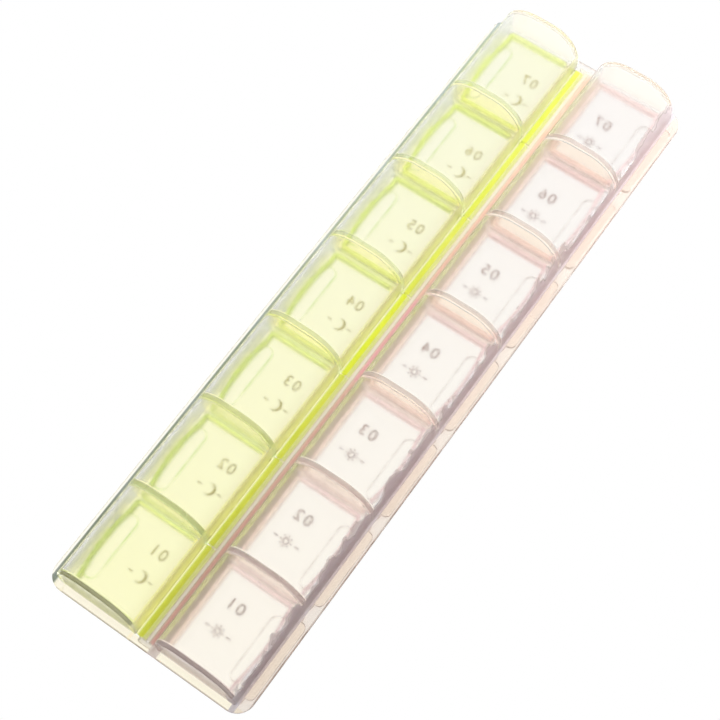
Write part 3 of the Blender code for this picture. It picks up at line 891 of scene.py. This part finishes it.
def rail_outline(foot):
    """The hinge rail: a rib whose top carries a round rod on each side."""
    half_web = ROD_WEB / 2
    half_rib = RIB_THICKNESS / 2
    leave = math.degrees(math.asin(half_web / ROD_RADIUS))
    right = arc(HINGE_OFFSET, HINGE_HEIGHT, ROD_RADIUS, leave - 180, 180 - leave, ROD_SIDES)
    left = [(-u, v) for u, v in reversed(right)]
    low = HINGE_HEIGHT - half_web
    foot_line = [(-half_rib, foot), (half_rib, foot)]
    return foot_line + [(half_rib, low)] + right + left + [(-half_rib, low)]


def build_tray():
    flange = rounded_rectangle(-FLANGE_WIDTH / 2, FLANGE_WIDTH / 2, -FLANGE_LENGTH / 2,
                               FLANGE_LENGTH / 2, (FLANGE_CORNER_RADIUS,) * 4, TROUGH_STEPS)
    tray = solid_of("tray_moulding", flange, "Z", FLANGE_BOTTOM, FLANGE_TOP, FLANGE_EDGE_ROUNDING)
    inside_flange = FLANGE_TOP - FLANGE_THICKNESS / 2
    for side in (1, -1):
        outline = trough_outline(side, ROW_WIDTH / 2, TROUGH_CORNER_RADIUS, 0, inside_flange)
        row = solid_of("row_body", outline, "Y", -ROW_LENGTH / 2, ROW_LENGTH / 2, END_ROUNDING,
                       skip_above=FLANGE_BOTTOM)
        combine(tray, row, "UNION")
    stop_face = LAST_LID_END + SEAT_GAP
    stop_end = stop_face + STOP_THICKNESS
    rail_end = (stop_face + stop_end) / 2
    rail = solid_of("rail_body", rail_outline(inside_flange), "Y", -rail_end, rail_end)
    combine(tray, rail, "UNION")
    reach = HINGE_OFFSET + ROD_RADIUS
    stop = rounded_rectangle(-reach, reach, inside_flange, HINGE_HEIGHT + ROD_RADIUS,
                             (0, 0, ROD_RADIUS, ROD_RADIUS))
    stops = [solid_of("stop_body", stop, "Y", low, low + STOP_THICKNESS)
             for low in (stop_face, -stop_end)]
    combine(tray, join_tools("stop_bodies", stops), "UNION")
    pockets = [pocket_tool(side, index) for side in (1, -1) for index in range(len(DAYS))]
    combine(tray, join_tools("pocket_tools", pockets), "DIFFERENCE")
    catches = [catch_tool(side, index) for side in (1, -1) for index in range(len(DAYS))]
    combine(tray, join_tools("catch_tools", catches), "DIFFERENCE")
    smooth(tray)
    set_material(tray.data, clear_plastic)
    return tray


# Lids

def lid_outline():
    half = LID_LENGTH / 2
    lip_half = THUMB_LIP_LENGTH / 2
    lip_edge = LID_OUTER_EDGE + THUMB_LIP_REACH
    panel = arc(LID_OUTER_EDGE - LID_CORNER_RADIUS, -half + LID_CORNER_RADIUS, LID_CORNER_RADIUS,
                -90, 0, SMALL_STEPS)
    lip = arc(lip_edge - THUMB_LIP_RADIUS, -lip_half + THUMB_LIP_RADIUS, THUMB_LIP_RADIUS,
              -90, 0, SMALL_STEPS)
    lower = [(LID_HINGE_EDGE, -half)] + panel + [(LID_OUTER_EDGE, -lip_half)] + lip
    upper = [(u, -v) for u, v in reversed(lower)]
    return lower + upper


def skirt_reach(along):
    """How far out the bowed skirt lies at a place along it."""
    return SKIRT_ROOT + SKIRT_BOW * (1 - (along / (SKIRT_LENGTH / 2)) ** 2)


def bow(offset):
    steps = [-SKIRT_LENGTH / 2 + SKIRT_LENGTH * step / BOW_STEPS for step in range(BOW_STEPS + 1)]
    return [(skirt_reach(along) + offset, along) for along in steps]


def rim_outline(inset):
    half = RIM_LENGTH / 2 - inset
    radius = RIM_CORNER_RADIUS - inset if RIM_CORNER_RADIUS > inset else 0
    corners = rounded_rectangle(RIM_HINGE_SIDE + inset, SKIRT_ROOT - inset, -half, half,
                                (radius,) * 4)
    per_corner = SMALL_STEPS + 1 if radius else 1
    before = corners[:2 * per_corner]
    after = corners[2 * per_corner:]
    return before + bow(-inset) + after


def slot_tool(side):
    """What cuts the slot beside the snap tongue, out from the skirt's inner face."""
    low, high = sorted((side * TONGUE_LENGTH / 2, side * (TONGUE_LENGTH / 2 + SLOT_LENGTH)))
    inner = [point for point in bow(0) if low < point[1] < high]
    outline = [(skirt_reach(low), low)] + inner + [(skirt_reach(high), high)]
    outline += [(WALL_INNER_FACE, high), (WALL_INNER_FACE, low)]
    return solid_of("slot_tool", outline, "Z", LID_UNDERSIDE - OVERRUN, LID_TOP + OVERRUN)


def clip_outline():
    """The clip along the hinge edge, about the rod that it wraps from below."""
    jaw_angle = math.degrees(math.asin(JAW_FACE / CLIP_RADIUS))
    mouth_angle = math.degrees(math.asin(JAW_FACE / HINGE_BORE))
    underside = arc(0, 0, CLIP_RADIUS, 180 + jaw_angle, 270, SMALL_STEPS)
    spine_top = arc(CLIP_BACK - CLIP_ROUNDING, CLIP_RISE - CLIP_ROUNDING, CLIP_ROUNDING, 0, 90,
                    SMALL_STEPS)
    bore = arc(0, 0, HINGE_BORE, 90 - mouth_angle, mouth_angle - 180, BORE_SIDES)
    return underside + [(CLIP_BACK, LID_UNDERSIDE)] + spine_top + [(JAW_FACE, CLIP_RISE)] + bore


def lid_mesh():
    """One lid about its hinge axis, reaching out along +X."""
    lid = solid_of("lid_body", lid_outline(), "Z", LID_UNDERSIDE, LID_TOP, LID_EDGE_ROUNDING,
                   rounded_ends=(False, True))
    rim_low = LID_UNDERSIDE - RIM_HEIGHT
    inside_panel = LID_UNDERSIDE + LID_THICKNESS / 2
    rim = solid_of("rim_body", rim_outline(0), "Z", rim_low, inside_panel)
    hollow = solid_of("rim_hollow", rim_outline(RIM_THICKNESS), "Z", rim_low - OVERRUN,
                      inside_panel + OVERRUN)
    combine(rim, hollow, "DIFFERENCE")
    combine(lid, rim, "UNION")

    tongue = rounded_rectangle(PAD_OUTER_EDGE, SKIRT_CREST + TONGUE_PROUD, rim_low,
                               rim_low + TONGUE_HEIGHT, (0, TONGUE_PROUD, TONGUE_PROUD, 0))
    tongue_body = solid_of("tongue_body", tongue, "Y", -TONGUE_LENGTH / 2, TONGUE_LENGTH / 2)
    combine(lid, tongue_body, "UNION")
    combine(lid, join_tools("slot_tools", [slot_tool(1), slot_tool(-1)]), "DIFFERENCE")

    radii = (PAD_CORNER_RADIUS, POCKET_FILLET, POCKET_FILLET, PAD_CORNER_RADIUS)
    pad = rounded_rectangle(PAD_OUTER_EDGE - PAD_WIDTH, PAD_OUTER_EDGE, -PAD_LENGTH / 2,
                            PAD_LENGTH / 2, radii)
    pad_tool = solid_of("pad_tool", pad, "Z", LID_TOP - PAD_DEPTH, LID_TOP + OVERRUN)
    combine(lid, pad_tool, "DIFFERENCE")

    clip = solid_of("clip_body", clip_outline(), "Y", -LID_LENGTH / 2, LID_LENGTH / 2)
    combine(lid, clip, "UNION")
    smooth(lid)
    mesh = lid.data
    bpy.data.objects.remove(lid, do_unlink=True)
    return mesh


def build_lids(mesh, row, side, plastic):
    """Seven lids of one row, each in the place of its node."""
    mesh = mesh.copy()
    mesh.transform(Matrix.Rotation(0 if side > 0 else math.pi, 4, "Z"))
    set_material(mesh, plastic)
    for index, day in enumerate(DAYS):
        name = f"{day}_{row}_lid"
        lid = add_object(f"{day}_{row}_moulding", mesh)
        lid.location = (side * HINGE_OFFSET, cell_centre(index), HINGE_HEIGHT)
        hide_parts(name)
        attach(lid, name)


# Printing on the lids

SPECKLE_SCALE = 2600.0
WEAR_SCALE = 500.0
SPECKLE_MIDDLE = (0.35, 0.65)
INK_ROUGHNESS = (0.45, 0.65)
INK_CLEARNESS = (0.5, 0.72)
INK_PATCHINESS = (0.8, 1.2)


def ink_material(name, light, dark, tint):
    """Worn, half transparent printing ink, fainter toward the far end as in the photograph."""
    mat, tree = new_material(name)
    coords = object_coordinates(tree)
    speckle = noise(tree, coords, SPECKLE_SCALE, 3.0, 0.6)
    worn = noise(tree, coords, WEAR_SCALE, 2.0)
    shader = node(tree, "ShaderNodeBsdfPrincipled")
    link(tree, ramp(tree, speckle, zip(SPECKLE_MIDDLE, (dark, light))), shader.inputs["Base Color"])
    link(tree, spread(tree, speckle, *INK_ROUGHNESS, 0.0, 1.0), shader.inputs["Roughness"])
    # The ink grows clearer toward the far end: painted light, a wash that pales the far end
    clear = spread(tree, world_along(tree), *INK_CLEARNESS, FIRST_CELL, -FIRST_CELL)
    patchy = spread(tree, worn, *INK_PATCHINESS, *SPECKLE_MIDDLE)
    surface_output(tree, mix_shaders(tree, maths(tree, "MULTIPLY", clear, patchy),
                                     shader.outputs["BSDF"], transparent(tree, tint)))
    return mat


def numeral_mesh(number):
    """A plain two digit number, its middle at the origin, reading along +X."""
    curve = bpy.data.curves.new("numeral", "FONT")
    curve.body = f"{number:02d}"
    curve.size = NUMERAL_HEIGHT / DIGIT_SHARE
    curve.space_character = DIGIT_SPACING
    curve.align_x = "CENTER"
    curve.align_y = "CENTER"
    curve.extrude = PRINT_THICKNESS / 2
    curve.resolution_u = DIGIT_STEPS
    carrier = add_object("numeral_carrier", curve)
    mesh = bpy.data.meshes.new_from_object(carrier)
    bpy.data.objects.remove(carrier, do_unlink=True)
    return mesh


def ring_outlines(radius, line):
    """A thin ring, as two halves."""
    return [arc(0, 0, radius, start, start + 180, RING_STEPS)
            + arc(0, 0, radius - line, start + 180, start, RING_STEPS) for start in (0, 180)]


def moon_outlines():
    """A crescent."""
    radius = MARK_HEIGHT / 2
    outer = arc(0, 0, radius, MOON_OPENING, 360 - MOON_OPENING, MOON_OUTER_STEPS)
    tip_u, tip_v = outer[0]
    inner_centre = tip_u - MOON_INNER_SHIFT * radius
    inner_radius = math.hypot(tip_u - inner_centre, tip_v)
    turn = math.degrees(math.atan2(tip_v, tip_u - inner_centre))
    inner = arc(inner_centre, 0, inner_radius, 360 - turn, turn, MOON_INNER_STEPS)
    return [outer + inner[1:-1]]


def sun_outlines():
    """A ring with short rays."""
    outlines = ring_outlines(MARK_HEIGHT * SUN_RING_SHARE, MARK_LINE)
    for ray in range(SUN_RAYS):
        turn = ray * 2 * math.pi / SUN_RAYS
        along = Vector((math.cos(turn), math.sin(turn)))
        across = Vector((-along.y, along.x)) * MARK_LINE / 2
        start = along * MARK_HEIGHT * SUN_RAY_START_SHARE
        stop = along * MARK_HEIGHT * SUN_RAY_END_SHARE
        outlines.append([tuple(start - across), tuple(stop - across), tuple(stop + across),
                         tuple(start + across)])
    return outlines


def dash_outlines():
    """A short dash on each side of the mark."""
    outlines = []
    for side in (-1, 1):
        centre = side * (MARK_HEIGHT / 2 + MARK_GAP + DASH_LENGTH / 2)
        outlines.append(rounded_rectangle(centre - DASH_LENGTH / 2, centre + DASH_LENGTH / 2,
                                          -MARK_LINE / 2, MARK_LINE / 2))
    return outlines


def between(ends, share):
    """The value at a share of the way from the first end to the second."""
    return ends[0] + (ends[1] - ends[0]) * share


def print_lids(row, side, mark, ink):
    """A number for the day and a mark for the time of day on the top of each lid."""
    for index, day in enumerate(DAYS):
        share = index / (len(DAYS) - 1)
        bm = bmesh.new()
        bm.from_mesh(numeral_mesh(index + 1))
        place = (0, between(NUMERAL_PLACE, share), PRINT_THICKNESS / 2)
        bmesh.ops.translate(bm, verts=bm.verts, vec=place)
        for outline in mark + dash_outlines():
            placed = [(u, v + between(MARK_PLACE, share)) for u, v in outline]
            extrude_outline(bm, placed, "Z", 0, PRINT_THICKNESS)
        bmesh.ops.translate(bm, verts=bm.verts,
                            vec=(side * PRINT_CENTRE, 0, LID_TOP + PRINT_LIFT))
        piece = mesh_object(f"{day}_{row}_print", bm)
        piece.data.materials.append(ink)
        piece.location = (side * HINGE_OFFSET, cell_centre(index), HINGE_HEIGHT)
        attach(piece, f"{day}_{row}_lid")


# Assembly

tray = build_tray()
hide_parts("clear_tray_night_sunday_end", "clear_tray_night_monday_end",
            "clear_tray_day_sunday_end", "clear_tray_day_monday_end")
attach(tray, "tray")
one_lid = lid_mesh()
build_lids(one_lid, "night", 1, lime_plastic)
build_lids(one_lid, "day", -1, pink_plastic)
olive_ink = ink_material("olive_ink", light=(0.60, 0.52, 0.08), dark=(0.46, 0.39, 0.05),
                         tint=(0.80, 0.72, 0.20))
brown_ink = ink_material("brown_ink", light=(0.44, 0.26, 0.19), dark=(0.32, 0.18, 0.13),
                         tint=(0.68, 0.43, 0.36))
print_lids("night", 1, moon_outlines(), olive_ink)
print_lids("day", -1, sun_outlines(), brown_ink)


# Stage, light and camera

FLOOR_RADIUS = 2.4
FLOOR_SIDES = 96
FLOOR_DROP = 0.2 * MM
FLOOR_GRAIN_SCALE = 260.0
FLOOR_GRAIN = ((0.3, (0.83, 0.83, 0.82)), (0.7, (0.86, 0.86, 0.85)))
FLOOR_ROUGHNESS = 0.6
FLOOR_GLOW = 0.92
FLOOR_FADE = (0.5, 2.0)
WHITE = (1.0, 1.0, 1.0, 1.0)
LIGHT_LEVEL = 0.7
HORIZON_LEVELS = (0.35, 0.95, -0.2, 0.6)
HORIZON_HEIGHT = 0.65
BACKDROP_LEVELS = (0.84, 1.0, 0.0, 0.35)


def build_floor():
    """A pale disc that shows from above and not from below, and fades out into the background."""
    bm = bmesh.new()
    bmesh.ops.create_circle(bm, cap_ends=True, segments=FLOOR_SIDES, radius=FLOOR_RADIUS)
    floor = mesh_object("floor", bm)
    floor.location = (0, 0, -FLOOR_DROP)
    mat, tree = new_material("pale_floor")
    coords = object_coordinates(tree)
    grain = noise(tree, coords, FLOOR_GRAIN_SCALE, 4.0, 0.6)
    base = node(tree, "ShaderNodeBsdfDiffuse", Roughness=FLOOR_ROUGHNESS)
    link(tree, ramp(tree, grain, FLOOR_GRAIN), base.inputs["Color"])
    glow = node(tree, "ShaderNodeEmission", Strength=1.0, Color=WHITE)
    share = maths(tree, "MULTIPLY", through_or_off_a_surface(tree), FLOOR_GLOW)
    lit = mix_shaders(tree, share, base.outputs["BSDF"], glow.outputs["Emission"])

    away = node(tree, "ShaderNodeVectorMath", _operation="LENGTH")
    link(tree, coords, away.inputs[0])
    back = node(tree, "ShaderNodeNewGeometry").outputs["Backfacing"]
    hidden = maths(tree, "MAXIMUM", rise(tree, away.outputs["Value"], *FLOOR_FADE), back)
    surface_output(tree, mix_shaders(tree, hidden, lit, transparent(tree)))
    floor.data.materials.append(mat)


def build_world():
    """White behind the object and an even pale light on it.

    Clear plastic sees a dimmer horizon, darkest beyond the near end, which gives it its edges.
    """
    world = bpy.data.worlds.new("studio")
    bpy.context.scene.world = world
    world.use_nodes = True
    tree = world.node_tree
    tree.nodes.clear()
    coords = node(tree, "ShaderNodeTexCoord").outputs["Generated"]
    along, up = separate(tree, coords)[1:]
    steep = rise(tree, maths(tree, "ABSOLUTE", up), 0.0, HORIZON_HEIGHT)
    seen_in_plastic = blend(tree, steep, spread(tree, along, *HORIZON_LEVELS), 1.0)
    light = blend(tree, through_or_off_a_surface(tree), LIGHT_LEVEL, seen_in_plastic)
    path = node(tree, "ShaderNodeLightPath")
    level = blend(tree, path.outputs["Is Camera Ray"], light, spread(tree, up, *BACKDROP_LEVELS))
    sky = node(tree, "ShaderNodeBackground", Color=WHITE)
    link(tree, level, sky.inputs["Strength"])
    out = node(tree, "ShaderNodeOutputWorld")
    link(tree, sky.outputs["Background"], out.inputs["Surface"])


def area_lamp(name, place, aim, size, power):
    data = bpy.data.lights.new(name, "AREA")
    data.shape = "RECTANGLE"
    data.size, data.size_y = size
    data.energy = power
    lamp = add_object(name, data)
    lamp.location = place
    lamp.rotation_euler = (Vector(aim) - Vector(place)).to_track_quat("-Z", "Y").to_euler()
    lamp.visible_camera = False
    lamp.visible_transmission = False


build_floor()
build_world()
area_lamp("key_lamp", place=(0.45, -0.35, 0.75), aim=(0, 0, 0.01), size=(0.6, 0.6), power=2.2)
area_lamp("far_lamp", place=(-0.15, 0.45, 0.42), aim=(0, 0.06, 0.01), size=(0.5, 0.4), power=1.2)

# The camera's place and its axes as columns, from the fit to the photograph
CAMERA_PLACE = (-0.1191821, -0.1592626, -0.4080265)
CAMERA_AXES = ((-0.8144759, 0.5190103, -0.2593403),
               (0.5796422, 0.7474355, -0.3245844),
               (0.0253775, -0.4146908, -0.9096085))
CAMERA_LENS = 87.227
SENSOR_WIDTH = 36.0
CAMERA_CLIP = (0.01, 20.0)

camera_data = bpy.data.cameras.new("camera")
camera_data.sensor_width = SENSOR_WIDTH
camera_data.lens = CAMERA_LENS
camera_data.clip_start, camera_data.clip_end = CAMERA_CLIP
camera = add_object("camera", camera_data)
camera.matrix_world = Matrix.Translation(CAMERA_PLACE) @ Matrix(CAMERA_AXES).to_4x4()
bpy.context.scene.camera = camera
bpy.context.scene.view_settings.view_transform = "Standard"
